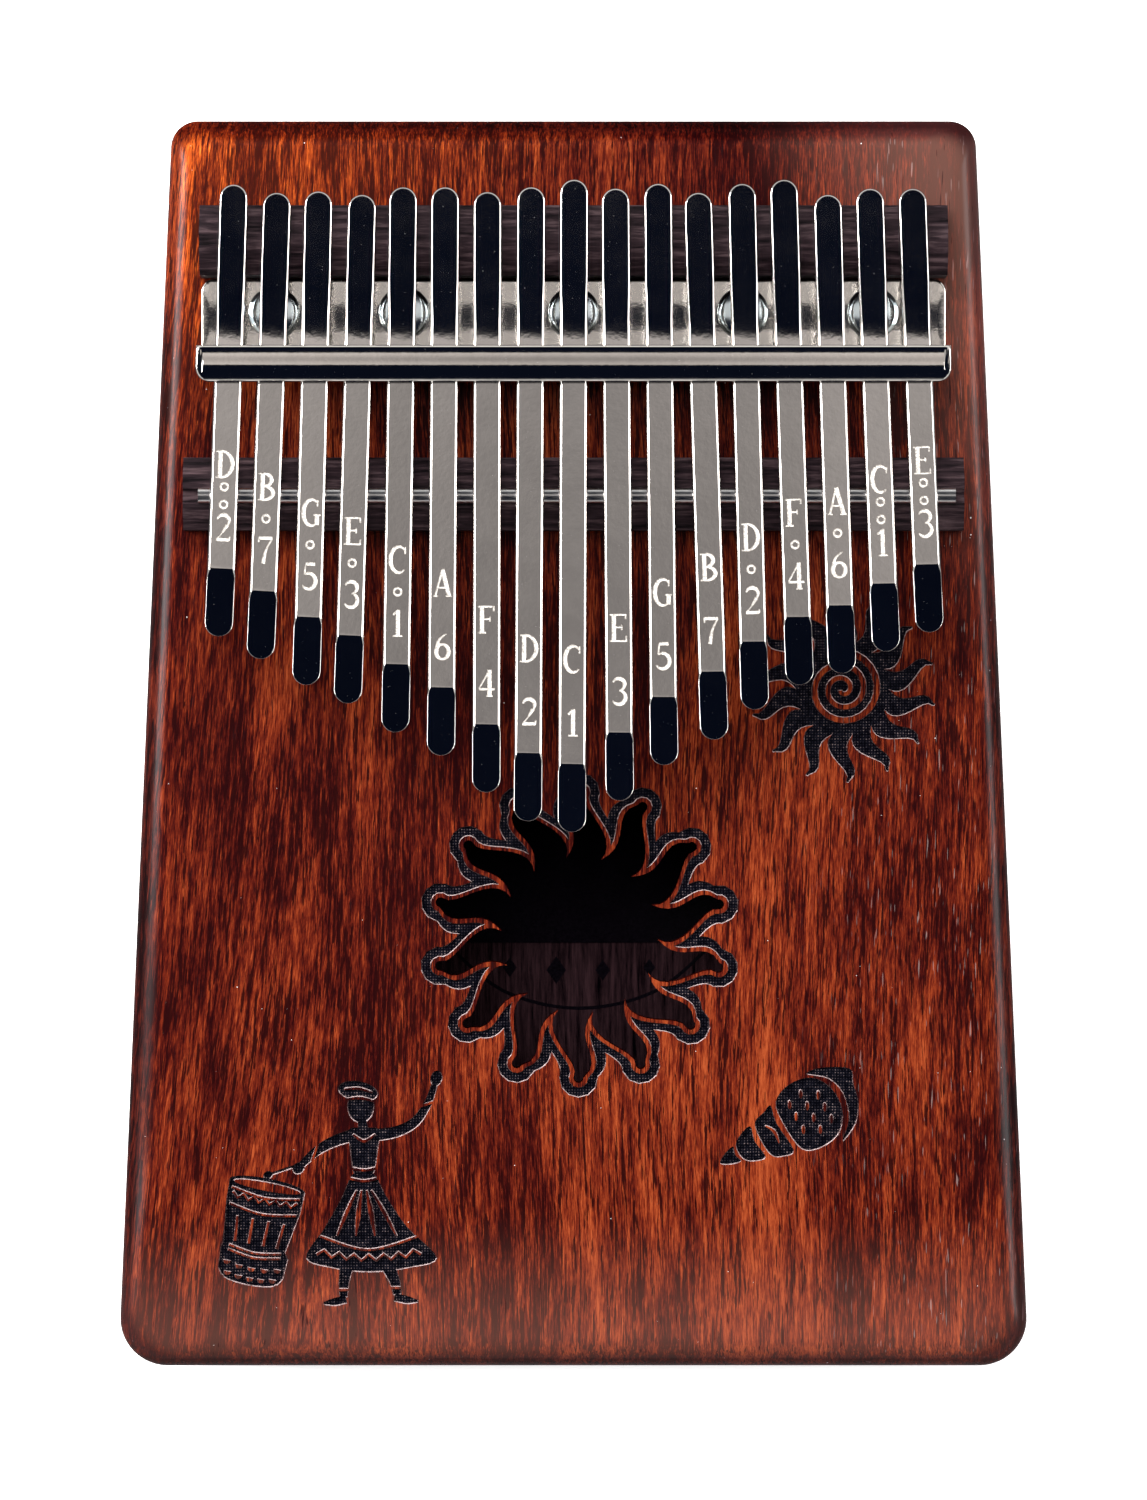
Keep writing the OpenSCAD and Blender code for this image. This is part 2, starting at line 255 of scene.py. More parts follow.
class Shape:
    """Collects points and faces in millimetres, then makes one welded mesh object."""

    def __init__(self):
        self.points = []
        self.faces = []
        self.slots = []

    def add(self, points, faces, slot=0):
        start = len(self.points)
        self.points += [tuple(p) for p in points]
        self.faces += [[start + i for i in face] for face in faces]
        self.slots += [slot] * len(faces)

    def rings(self, rings, slot=0):
        """A band of four-sided faces through closed rings of equal length."""
        n = len(rings[0])
        faces = []
        for j in range(len(rings) - 1):
            for k in range(n):
                a, b = j * n + k, j * n + (k + 1) % n
                faces.append((a, b, b + n, a + n))
        self.add([p for ring in rings for p in ring], faces, slot)

    def make(self, name, materials, sharp=32):
        mesh = bpy.data.meshes.new(name)
        mesh.from_pydata([Vector(p) * MM for p in self.points], [], self.faces)
        for material in materials:
            mesh.materials.append(material)
        mesh.polygons.foreach_set("material_index", self.slots)
        built = bmesh.new()
        built.from_mesh(mesh)
        bmesh.ops.remove_doubles(built, verts=built.verts, dist=0.002 * MM)
        bmesh.ops.recalc_face_normals(built, faces=built.faces)
        built.to_mesh(mesh)
        built.free()
        obj = new_object(name, mesh)
        soften(obj, sharp)
        return obj


def soften(obj, sharp):
    """Smooth shading that keeps flat faces flat and edges over sharp degrees crisp."""
    obj.data.shade_smooth()
    obj.data.set_sharp_from_angle(angle=math.radians(sharp))
    modifier = obj.modifiers.new("flat faces stay flat", "WEIGHTED_NORMAL")
    modifier.keep_sharp = True


class Sheet:
    """A flat area cut into triangles. Some are engraved: inside a cut and outside every island."""

    def __init__(self, outer, holes=(), cuts=(), islands=(), lines=()):
        points, edges, loops = [], [], []
        for loop in [outer, *holes, *cuts, *islands]:
            start = len(points)
            ordered = loop if area(loop) > 0 else loop[::-1]
            points += [Vector(p) for p in ordered]
            loops.append(list(range(start, start + len(loop))))
        for line in lines:
            start = len(points)
            points += [Vector(p) for p in line]
            edges += [(start + k, start + k + 1) for k in range(len(line) - 1)]
        cut_from = 1 + len(holes)
        island_from = cut_from + len(cuts)
        found = delaunay_2d_cdt(points, edges, loops, 1, 1e-4)
        self.points = [tuple(p) for p in found[0]]
        self.faces, self.engraved = [], []
        for face, owners in zip(found[2], found[5]):
            if any(1 <= o < cut_from for o in owners):
                continue
            in_cut = any(cut_from <= o < island_from for o in owners)
            on_island = any(o >= island_from for o in owners)
            self.faces.append(list(face))
            self.engraved.append(in_cut and not on_island)

    def build(self, shape, place, depth=0.0, slope=0.0, slots=(0, 0, 0)):
        """Adds the sheet to shape, where place(x, y, height) gives a point in space.

        Engraved triangles lie depth lower, and their walls lean outwards by slope.
        slots are the materials of the face, the engraved floor and its walls.
        """
        sides = {}
        for face, engraved in zip(self.faces, self.engraved):
            for a, b in zip(face, face[1:] + face[:1]):
                sides[a, b] = engraved
        borders = [e for e, engraved in sides.items() if engraved and sides.get(e[::-1]) is False]
        inward = {}
        for a, b in borders:
            (ax, ay), (bx, by) = self.points[a], self.points[b]
            normal = Vector((ay - by, bx - ax)).normalized()
            for i in (a, b):
                inward[i] = inward.get(i, Vector((0, 0))) + normal
        top = [place(x, y, 0.0) for x, y in self.points]
        floor = []
        for i, (x, y) in enumerate(self.points):
            lean = inward.get(i, Vector((0, 0)))
            if lean.length > 1e-6:
                lean = lean.normalized() * slope
            floor.append(place(x + lean.x, y + lean.y, -depth))
        n = len(top)
        plain = [f for f, engraved in zip(self.faces, self.engraved) if not engraved]
        sunk = [[i + n for i in f] for f, engraved in zip(self.faces, self.engraved) if engraved]
        walls = [(b, a, a + n, b + n) for a, b in borders]
        both = top + floor
        for faces, slot in zip((plain, sunk, walls), slots):
            used = sorted({i for face in faces for i in face})
            renumber = {i: k for k, i in enumerate(used)}
            shape.add([both[i] for i in used], [[renumber[i] for i in face] for face in faces], slot)


# ---- Materials ----


class Graph:
    """A short way to write a node tree: inputs may be plain values or other nodes' outputs."""

    def __init__(self, owner):
        owner.use_nodes = True
        self.owner = owner
        self.tree = owner.node_tree
        self.tree.nodes.clear()

    def add(self, kind, inputs=(), **settings):
        node = self.tree.nodes.new("ShaderNode" + kind)
        for key, value in settings.items():
            setattr(node, key, value)
        for key, value in dict(inputs).items():
            socket = node.inputs[key]
            if isinstance(value, bpy.types.NodeSocket):
                self.tree.links.new(value, socket)
            else:
                socket.default_value = value
        return node

    def math(self, operation, a, b=0.0):
        return self.add("Math", {0: a, 1: b}, operation=operation).outputs[0]

    def plus(self, a, b):
        return self.math("ADD", a, b)

    def minus(self, a, b):
        return self.math("SUBTRACT", a, b)

    def times(self, a, b):
        return self.math("MULTIPLY", a, b)

    def blend(self, factor, a, b, mode="MIX"):
        node = self.add("Mix", {0: factor, 6: a, 7: b}, data_type="RGBA", blend_type=mode)
        return node.outputs[2]

    def fade(self, value, low, high, to_low=0.0, to_high=1.0):
        """value's smooth step from low to high, as a number from to_low to to_high."""
        inputs = {0: value, 1: low, 2: high, 3: to_low, 4: to_high}
        return self.add("MapRange", inputs, interpolation_type="SMOOTHSTEP").outputs[0]

    def ramp(self, value, stops):
        node = self.add("ValToRGB", {0: value})
        elements = node.color_ramp.elements
        while len(elements) < len(stops):
            elements.new(0.5)
        for element, (position, colour) in zip(elements, stops):
            element.position = position
            element.color = (*colour, 1)
        return node.outputs[0]

    def noise(self, vector, scale, detail=4.0, roughness=0.55, distortion=0.0):
        inputs = {"Vector": vector, "Scale": scale, "Detail": detail, "Roughness": roughness}
        return self.add("TexNoise", {**inputs, "Distortion": distortion}).outputs[0]

    def millimetres(self, stretch=(1, 1, 1)):
        """The object's own coordinates in millimetres, each axis multiplied by stretch."""
        place = self.add("TexCoord").outputs["Object"]
        return self.add("Mapping", {"Vector": place, "Scale": [s / MM for s in stretch]}).outputs[0]

    def split(self, vector):
        """A vector's x, y and z."""
        return self.add("SeparateXYZ", {0: vector}).outputs

    def surface(self, colour, roughness, relief=None, strength=0.0, depth=0.1, extra=()):
        """Ends the material and returns it. relief is its bump map, depth millimetres deep."""
        inputs = {"Base Color": colour, "Roughness": roughness, **dict(extra)}
        if relief is not None:
            bump = self.add("Bump", {"Strength": strength, "Distance": depth * MM, "Height": relief})
            inputs["Normal"] = bump.outputs[0]
        self.add("OutputMaterial", {"Surface": self.add("BsdfPrincipled", inputs).outputs[0]})
        return self.owner


def new_material(name):
    return Graph(bpy.data.materials.new(name))


# The wood's colour from its darkest grain to its lightest
WOOD_TONES = (
    (0.26, (0.010, 0.0010, 0.0014)),
    (0.38, (0.030, 0.0026, 0.0020)),
    (0.52, (0.075, 0.0080, 0.0034)),
    (0.66, (0.150, 0.0210, 0.0062)),
    (0.82, (0.240, 0.0450, 0.0130)),
)
WOOD_STREAK = (0.010, 0.0012, 0.0014)
# How much of the lacquer's shine is left on surfaces that face straight up
FLAT_COAT = 0.3


def shaded_board(g, tone, x, y):
    """The soundboard's tone, darker at its left, right and far end."""
    halfway = g.fade(g.math("ABSOLUTE", g.plus(y, 6.0)), 72.0, 25.0)
    left = g.times(g.fade(x, -36.0, -56.0), halfway)
    right = g.times(g.fade(x, 22.0, 50.0), g.fade(y, 55.0, 10.0))
    far_end = g.fade(y, 66.0, 84.0)
    for share, weight in ((left, 0.14), (right, 0.08), (far_end, 0.10)):
        tone = g.minus(tone, g.times(share, weight))
    return tone


def worn_board_sheen_and_shade(g, colour, x, y, z, pores):
    """The soundboard's golden corner, painted sheen at its right and near end, rubbed pores, dust, and
    painted shade in the hole and below its top.
    """
    gold = g.fade(g.minus(y, g.times(x, 0.8)), 80.0, 122.0)
    colour = g.blend(gold, colour, (2.8, 3.6, 1.6, 1), "MULTIPLY")
    # Painted sheen: a pale veil towards the right and the near end stands in for reflections in the
    # lacquer.
    pale = g.fade(g.plus(x, g.times(y, 0.45)), 62.0, 98.0)
    near = g.fade(y, -68.0, -92.0)
    painted_sheen = g.math("MAXIMUM", g.times(pale, 0.18), g.times(near, 0.10))
    colour = g.blend(painted_sheen, colour, (0.42, 0.20, 0.15, 1))
    rubbed = g.times(g.fade(pores, 0.70, 0.75), g.fade(x, 30.0, 52.0))
    colour = g.blend(g.times(rubbed, 0.22), colour, (0.42, 0.33, 0.31, 1))
    specks = g.fade(g.noise(g.millimetres(), 1.9, 1.0), 0.815, 0.83)
    colour = g.blend(specks, colour, (0.6, 0.56, 0.54, 1))
    # Painted shade: the further a face lies below the top, in the hole and down the rounded edge, the
    # darker its colour.
    depth_shade = g.fade(z, BOARD_TOP - 0.3, BOARD_TOP - 1.8)
    return g.blend(g.times(depth_shade, 0.85), colour, (0.30, 0.20, 0.26, 1), "MULTIPLY")


def hardwood(name, grain="Y", shade=1.0, board=False, inside=False):
    """Lacquered red-brown hardwood with crisp dark grain lines and open pores along the grain.

    board adds what only the soundboard has, and grain that leans near its left side.
    inside leaves the face that looks into the box raw, and painted near black as the shade inside the box.
    """
    g = new_material(name)
    x, y, z = (g.times(metres, 1 / MM) for metres in g.split(g.add("TexCoord").outputs["Object"]))
    across, along = (x, y) if grain == "Y" else (y, x)
    sway = g.noise(g.millimetres((0.016, 0.012, 0.016)), 1.0, 1.0)
    across = g.plus(across, g.times(sway, 6.0))
    if board:
        lean = g.times(g.fade(x, -25.0, -55.0), -0.09)
        across = g.plus(across, g.times(lean, y))

    def grain_noise(fine, long, detail, roughness=0.55, distortion=0.0):
        vector = g.add("CombineXYZ", {
            0: g.times(across, fine),
            1: g.times(along, long),
            2: g.times(z, fine * 0.4),
        }).outputs[0]
        return g.noise(vector, 1.0, detail, roughness, distortion)

    def weighed(*terms):
        total = 0.0
        for value, weight in terms:
            total = g.plus(g.times(g.minus(value, 0.5), weight), total)
        return total

    broad = grain_noise(0.045, 0.016, 3.0, 0.6)
    patches = grain_noise(0.20, 0.035, 4.0, 0.6, 0.2)
    ribbons = grain_noise(1.5, 0.10, 5.0, 0.75)
    lines = grain_noise(2.8, 0.15, 2.0, 0.6)
    fibres = grain_noise(7.0, 0.45, 3.0, 0.7)
    pores = grain_noise(3.4, 0.22, 1.0)
    tone = weighed((broad, 0.75), (patches, 0.5), (ribbons, 1.15), (fibres, 1.0))
    tone = g.plus(tone, 0.50)
    if board:
        tone = shaded_board(g, tone, x, y)
    colour = g.ramp(tone, [(at, [c * shade for c in tint]) for at, tint in WOOD_TONES])
    streak = g.fade(weighed((lines, 1.0), (patches, 0.25), (broad, 0.15)), -0.045, -0.065)
    streak_colour = (*(c * shade for c in WOOD_STREAK), 1)
    colour = g.blend(g.times(streak, 0.92), colour, streak_colour)
    if board:
        colour = worn_board_sheen_and_shade(g, colour, x, y, z, pores)
    pore = g.fade(pores, 0.30, 0.25)
    colour = g.blend(g.times(pore, 0.7), colour, (0.008, 0.003, 0.004, 1))
    facing = g.split(g.add("NewGeometry").outputs["Normal"])
    coat = g.fade(facing[2], 0.97, 0.80, FLAT_COAT, 1.0)
    if board:
        # Painted shade: faces turned towards the far end, like the far rounded edge, get a darker colour
        # and less lacquer shine.
        far_facing_shade = g.fade(facing[1], 0.15, 0.55)
        coat = g.times(coat, g.minus(1.0, g.times(far_facing_shade, 0.8)))
        colour = g.blend(far_facing_shade, colour, (0.5, 0.35, 0.4, 1), "MULTIPLY")
    if inside:
        raw = g.fade(z, BACK_T - 0.4, BACK_T - 0.1)
        # Painted shade: the raw inner face gets a near-black colour for the shade inside the box.
        raw_wood_in_shade = g.ramp(ribbons, [(0.36, (0.0006, 0.0003, 0.0008)), (0.66, (0.0260, 0.0120, 0.0145))])
        colour = g.blend(raw, colour, raw_wood_in_shade)
        coat = g.times(coat, g.minus(1.0, raw))
    relief = g.minus(g.times(fibres, 0.35), pore)
    lacquer = {"Specular IOR Level": 0.0, "Coat Weight": coat, "Coat IOR": 1.17, "Coat Roughness": 0.23}
    return g.surface(colour, 0.55, relief, 0.10, extra=lacquer)


def etched_floor(name):
    """The laser-burnt floor of the etchings: nearly black, with a worn cross-hatching."""
    g = new_material(name)
    hatch = 0.22
    for direction in "XY":
        inputs = {"Vector": g.millimetres(), "Scale": 0.75, "Distortion": 1.2, "Detail": 2.0}
        wave = g.add("TexWave", inputs, bands_direction=direction)
        hatch = g.times(wave.outputs[1], hatch)
    blot = g.noise(g.millimetres(), 1.1, 5.0, 0.65)
    grit = g.noise(g.millimetres(), 3.4, 2.0)
    height = g.plus(hatch, g.times(blot, 0.55))
    height = g.plus(height, g.times(grit, 0.35))
    colour = g.ramp(height, [
        (0.42, (0.0004, 0.0004, 0.0012)),
        (0.56, (0.0030, 0.0030, 0.0058)),
        (0.65, (0.0160, 0.0135, 0.0170)),
        (0.74, (0.1300, 0.0950, 0.0900)),
    ])
    return g.surface(colour, 0.45, height, 0.6, 0.15, {"Specular IOR Level": 0.03})


def etched_rim(name):
    """The melted walls of the etchings, with a painted highlight: palest where they face +Y."""
    g = new_material(name)
    blot = g.noise(g.millimetres(), 1.1, 5.0, 0.65)
    grit = g.noise(g.millimetres(), 2.2, 3.0)
    facing = g.split(g.add("NewGeometry").outputs["True Normal"])
    # Painted highlight: walls that face +Y get a pale colour, as if lit from the far end.
    light = g.fade(facing[1], -0.3, 0.75, 0.0, 0.5)
    light = g.plus(light, g.times(grit, 1.4))
    colour = g.ramp(g.minus(light, 0.35), [
        (0.30, (0.006, 0.004, 0.006)),
        (0.60, (0.100, 0.062, 0.060)),
        (0.95, (0.400, 0.310, 0.305)),
    ])
    return g.surface(colour, 0.45, blot, 0.6, 0.15, {"Specular IOR Level": 0.03})


def dark_bridge_wood(name):
    """Near-black open-pored wood with its grain along X."""
    g = new_material(name)
    grain = g.noise(g.millimetres((0.12, 1.3, 1.3)), 1.0, 5.0, 0.6, 0.4)
    pores = g.fade(g.noise(g.millimetres((0.35, 4.0, 4.0)), 1.0, 2.0), 0.38, 0.32)
    colour = g.ramp(grain, [
        (0.34, (0.003, 0.002, 0.0025)),
        (0.52, (0.017, 0.010, 0.012)),
        (0.70, (0.060, 0.038, 0.041)),
    ])
    colour = g.blend(g.times(pores, 0.6), colour, (0.006, 0.004, 0.005, 1))
    relief = g.minus(grain, pores)
    return g.surface(colour, 0.5, relief, 0.25, extra={"Specular IOR Level": 0.07})


def plain_wood(name, colour):
    """Raw wood for the unseen block inside the box."""
    g = new_material(name)
    grain = g.noise(g.millimetres((0.05, 1.0, 1.0)), 1.0, 4.0)
    darker = [c * 0.6 for c in colour]
    return g.surface(g.ramp(grain, [(0.3, darker), (0.7, colour)]), 0.75)


def plated_metal(name, colour, roughness, speckle=0.25, stretch=(1, 1, 1), peel=0.05, vary=0.0):
    """Bright plated metal with fine dust and slightly uneven polish, its darker patches partly painted
    reflection.

    speckle is the dust's strength, peel and stretch the depth and shape of the surface's ripples,
    and vary how much darker one object in this metal may be than another, for grease and painted
    reflection.
    """
    g = new_material(name)
    wear_and_reflection = g.noise(g.millimetres(), 0.25, 4.0)
    dust = g.fade(g.noise(g.millimetres(), 5.0, 1.0), 0.76, 0.82)
    # Painted reflection and grease: each object's colour is darker by a random share, up to vary.
    each = g.fade(g.add("ObjectInfo").outputs["Random"], 0.0, 1.0, 1.0 - vary, 1.0)
    # Uneven polish darkens the colour in patches: partly real wear, partly painted reflection of dark
    # things in the metal.
    tint = g.blend(wear_and_reflection, (*(c * 0.85 for c in colour), 1), (*colour, 1))
    tint = g.add("VectorMath", {0: tint, "Scale": each}, operation="SCALE").outputs[0]
    tint = g.blend(g.times(dust, speckle), tint, (0.75, 0.75, 0.78, 1))
    rough = g.plus(g.times(wear_and_reflection, 0.06), roughness)
    rough = g.plus(rough, g.times(dust, 0.3))
    ripples = g.noise(g.millimetres(stretch), 1.2, 3.0)
    return g.surface(tint, rough, ripples, peel, extra={"Metallic": 1.0})


def mark_fill(name):
    """The pale, roughly stamped bottom of the marks on the tines."""
    g = new_material(name)
    grit = g.noise(g.millimetres(), 3.5, 3.0)
    colour = g.ramp(grit, [(0.35, (0.36, 0.33, 0.30)), (0.58, (0.84, 0.80, 0.74))])
    return g.surface(colour, 0.4, grit, 0.4)


def label_paper(name):
    """A matt black paper label with a fine tooth."""
    g = new_material(name)
    tooth = g.noise(g.millimetres(), 3.0, 3.0)
    colour = g.ramp(tooth, [(0.3, (0.0006, 0.0004, 0.0010)), (0.7, (0.0030, 0.0020, 0.0035))])
    return g.surface(colour, 0.9, tooth, 0.1, extra={"Specular IOR Level": 0.05})


BOARD_WOOD = hardwood("soundboard wood", board=True)
SIDE_WOOD = hardwood("side wood", shade=0.8)
END_WOOD = hardwood("end wood", grain="X", shade=0.8)
BACK_WOOD = hardwood("back wood", shade=0.8, inside=True)
ETCHED = etched_floor("etched floor")
ETCHED_RIM = etched_rim("etched rim")
BRIDGE_WOOD = dark_bridge_wood("bridge wood")
BLOCK_WOOD = plain_wood("block wood", (0.45, 0.28, 0.15))
TINE_STEEL = plated_metal("tine nickel", (0.68, 0.65, 0.625), 0.03, speckle=0.12, vary=0.14)
PLATE_STEEL = plated_metal("bracket nickel", (0.79, 0.745, 0.70), 0.05)
FLANGE_STEEL = plated_metal("flange nickel", (0.80, 0.76, 0.71), 0.12, peel=0.22)
ROD_STEEL = plated_metal("rod steel", (0.82, 0.81, 0.80), 0.26, stretch=(0.1, 1, 1))
SCREW_ZINC = plated_metal("screw zinc", (0.66, 0.74, 0.77), 0.10)
MARK_FILL = mark_fill("mark fill")
LABEL_BLACK = label_paper("label black")


# ---- Box ----

TAPER = (BOX_W_FRONT - BOX_W_REAR) / 2 / BOX_LEN
TAPER_ANGLE = math.atan(TAPER)
MID_HALF_W = (BOX_W_FRONT + BOX_W_REAR) / 4
ARC_STEPS = 14
SIDE_STEPS = 48


def outline(inset=0.0, grow=0.0):
    """The box's outline as (x, y, normal x, normal y), anticlockwise from the player's end."""
    corners = []
    for end, radius, start, stop in (
        (-1, CORNER_FRONT + grow, -math.pi / 2, TAPER_ANGLE),
        (1, CORNER_REAR + grow, TAPER_ANGLE, math.pi / 2),
    ):
        cy = end * (BOX_LEN / 2 - inset - radius)
        cx = MID_HALF_W - TAPER * cy - (inset + radius) / math.cos(TAPER_ANGLE)
        corner = []
        for k in range(ARC_STEPS + 1):
            a = lerp(start, stop, k / ARC_STEPS)
            corner.append((cx + radius * math.cos(a), cy + radius * math.sin(a), math.cos(a), math.sin(a)))
        corners.append(corner)
    front, rear = corners
    side = []
    for k in range(1, SIDE_STEPS):
        t = k / SIDE_STEPS
        side.append(tuple(lerp(a, b, t) for a, b in zip(front[-1], rear[0])))
    right = front + side + rear
    return right + [(-x, y, -nx, ny) for x, y, nx, ny in right[::-1]]


def edge_ring(angle):
    """One level of the soundboard's rounded edge, from 0 degrees at the side to 90 at the top."""
    a = math.radians(angle)
    share = 1 - math.cos(a)
    ring = []
    for x, y, nx, ny in outline(EDGE_ROUND * share, CORNER_GROWTH * share):
        on_side = abs(nx) > 0.99
        d = y - SCOOP_Y
        fade = smooth(1 - (d / SCOOP_FADE_REAR if d > 0 else -d / SCOOP_FADE_FRONT))
        extra = SCOOP * fade * share if on_side else 0.0
        ring.append((x - nx * extra, y - ny * extra, BOARD_TOP - EDGE_ROUND * (1 - math.sin(a))))
    return ring


def hole_loop(grow=0.0):
    return sun_loop(*HOLE_CENTRE, HOLE_NOTCH_R, HOLE_TIP_R, 0.75, 9.7, 70, grow)


def spiral_sun():
    """A sun with a spiral at its middle: what is cut away, and the spiral that stands proud."""
    cx, cy = 39.8, 8.0
    rays = sun_loop(cx, cy, 6.9, 13.9, 0.25, 12.5, 95)
    spiral = []
    turns = 2.6
    for k in range(61):
        t = k / 60
        a = math.radians(70 - 360 * turns * t)
        r = lerp(5.5, 0.35, t)
        spiral.append((cx + r * math.cos(a), cy + r * math.sin(a), lerp(0.9, 0.55, t)))
    return [rays], [ribbon(spiral, 1)]


def drum():
    """A goblet drum, drawn upright round the middle of its head and then tilted."""
    body = (
        arc_points(0, 0, 5.7, 1.1, 0, 180, 14)
        + [(-5.6, -3), (-4.9, -9.3), (-5.1, -10.2), (-4.9, -13.2), (-4.2, -14.2)]
        + arc_points(0, -14.2, 4, 0.8, 180, 360, 10)
        + [(4.2, -14.2), (4.9, -13.2), (5.1, -10.2), (4.5, -9.3), (5.6, -3)]
    )
    islands = [
        ellipse(0, -0.15, 5, 0.62),
        zigzag(-4.8, 4.8, 12, lambda x: -1.75 - 0.2 * math.cos(math.pi * x / 9.6), -0.75, 0.32),
    ]
    for level, half, sag in ((-1.15, 5.1, 0.75), (-3.6, 5, 0.75), (-9.6, 3.9, 0.6), (-10.3, 3.9, 0.6)):
        islands.append(ribbon([(-half, level, 0.28), (0, level - sag, 0.28), (half, level, 0.28)], 8))
    for u in (-3.5, -1.2, 1.2, 3.5):
        islands.append(ribbon([(u, -5.2, 0.3), (u * 0.9, -8.9, 0.42)]))
    for row, half in ((-11.9, 3.8), (-13.4, 3.4)):
        for k in range(5):
            u = lerp(-half, half, k / 4)
            drop = 0.5 * (1 - (u / 4) ** 2)
            islands.append(arc_points(u, row - drop, 0.52, 0.55, 180, 360, 6))
    return [placed(loops, -45.3, -65.5, -11) for loops in ([body], islands)]


def drummer():
    """A plain figure in a full skirt beside the drum, with one hand up and a stick in the other."""
    head = [ellipse(-31.5, -53.8, 2, 2.4, 0, 24), ellipse(-31.9, -51.5, 3, 1.5, -10, 24)]
    body = [
        ribbon([(-31.3, -55.8, 1.3), (-31.1, -57.6, 1.7)]),
        blob((-33.3, -57.2), (-31, -56.9), (-28.7, -57.2), (-28.9, -60), (-29.6, -63.7),
             (-31, -64), (-32.5, -63.7), (-33.1, -60)),
    ]
    raised_arm = [
        ribbon([(-29.4, -58, 1.9), (-26.2, -57.5, 1.7), (-23.4, -56, 1.5), (-21.5, -53.2, 1.2),
                (-20.6, -50.6, 1)]),
        ellipse(-20.3, -49.6, 0.9, 1.2, -15, 14),
    ]
    drumming_arm = [
        ribbon([(-32.6, -58, 1.9), (-35.6, -59, 1.7), (-38.2, -60.5, 1.4), (-40.2, -62.4, 1.1)]),
        ellipse(-40.7, -62.9, 1, 0.85, 40, 14),
        ribbon([(-40.4, -62.4, 0.45), (-42.2, -62.9, 0.45), (-44.8, -63.8, 0.45)]),
        ellipse(-45.2, -63.9, 0.75, 0.6, 20, 12),
    ]
    skirt = [
        blob((-32.8, -63.9), (-31.1, -63.6), (-29.4, -63.9), (-27.6, -67.2), (-24.6, -71.6),
             (-20.2, -76.2), (-24.6, -77.7), (-30.2, -78.3), (-35.6, -77.7), (-39.6, -76.2),
             (-36.9, -71.8), (-34.4, -67.4)),
    ]
    legs = [
        ribbon([(-33.6, -77.6, 2), (-34, -80, 1.6), (-34, -82, 1.2)]),
        ribbon([(-33.6, -82.3, 1.2), (-35.4, -82.7, 1.2), (-37, -82.9, 0.4)]),
        ribbon([(-27.4, -77.6, 2), (-26.4, -79.8, 1.6), (-26.1, -81.6, 1.2)]),
        ribbon([(-26.5, -82, 1.2), (-24.6, -82.4, 1.2), (-23, -82.6, 0.4)]),
    ]
    trimmings = [
        ribbon([(-34.2, -52.8, 0.2), (-31.6, -52.5, 0.4), (-29.2, -53.1, 0.2)]),
        ribbon([(-33.9, -51.2, 0.2), (-31.8, -51.1, 0.35), (-29.8, -51.7, 0.2)]),
        ribbon([(-32.6, -57.9, 0.2), (-31, -58.9, 0.4), (-29.4, -57.9, 0.2)]),
        ribbon([(-33, -62.9, 0.35), (-31, -63.2, 0.35), (-29.2, -62.9, 0.35)]),
        ribbon([(-33.2, -64.4, 0.35), (-31, -64.8, 0.35), (-29, -64.4, 0.35)]),
        ribbon([(-37.8, -59.2, 0.35), (-38.7, -61.8, 0.35)]),
        ribbon([(-22.9, -53.8, 0.35), (-20.4, -53, 0.35)]),
        ribbon([(-37.5, -73, 0.3), (-30.4, -75, 0.3), (-23, -73, 0.3)], 10),
        zigzag(-38, -22.6, 14, lambda x: -76.6 + 0.016 * (x + 30.4) ** 2, 0.9, 0.35),
    ]
    for x0, x1, width in ((-32.1, -35, 0.5), (-31.4, -32.2, 0.7), (-30.6, -29.4, 0.7), (-29.9, -26.2, 0.5)):
        trimmings.append(ribbon([(x0, -66.2, 0.2), ((x0 + x1) / 2, -69.4, width), (x1, -72.9, 0.2)]))
    for x, y in ((-34.1, -80.9), (-26.2, -80.6)):
        trimmings.append(ribbon([(x - 1.2, y, 0.35), (x + 1.2, y, 0.35)]))
    return head + body + raised_arm + drumming_arm + skirt + legs, trimmings


def shell():
    """A spiral sea shell drawn along +X from its point at the origin, then turned and placed."""
    whorls = [
        blob((0, 0), (1.2, 0.9), (2.9, 1.3), (2.6, 0), (2.9, -1.2), (1.3, -0.9), steps=4),
        blob((3.5, 1.5), (5.2, 2.5), (6.6, 2.6), (6.1, 0.4), (6.4, -2.4), (4.9, -2.3), (3.5, -1.4),
             (3.1, 0), steps=4),
        blob((7.4, 2.8), (9.3, 3.5), (10.7, 3.9), (10.2, 1.2), (10.5, -3.6), (8.6, -3.6), (7.2, -2.6),
             (6.9, 0.2), steps=4),
        blob((11.6, 4), (14.6, 5.3), (18, 4.6), (19.8, 1.8), (19.7, -1.8), (17.6, -4.6),
             (14.3, -5.2), (11.6, -4), (11, 0.6), steps=4),
        blob((17.6, 5.4), (19.9, 5.2), (23.6, 3), (23, 0.8), (22.3, -2), (20.4, -4.6),
             (17.4, -5.9), (19.9, -3.4), (20.9, 0.2), (20.1, 3.2), steps=4),
    ]
    dashes = []
    for x, ys in ((13.2, (2.6, 0.6, -1.6)), (15.4, (3.2, 1.2, -0.8, -2.8)), (17.6, (1.8, -0.2, -2.2))):
        dashes += [ellipse(x, y, 0.65, 0.24, 62, 10) for y in ys]
    dashes.append(ribbon([(8.6, 1.6, 0.15), (9.3, 0.2, 0.4), (9.1, -1.6, 0.15)]))
    return [placed(loops, 21.7, -62.2, 29) for loops in (whorls, dashes)]


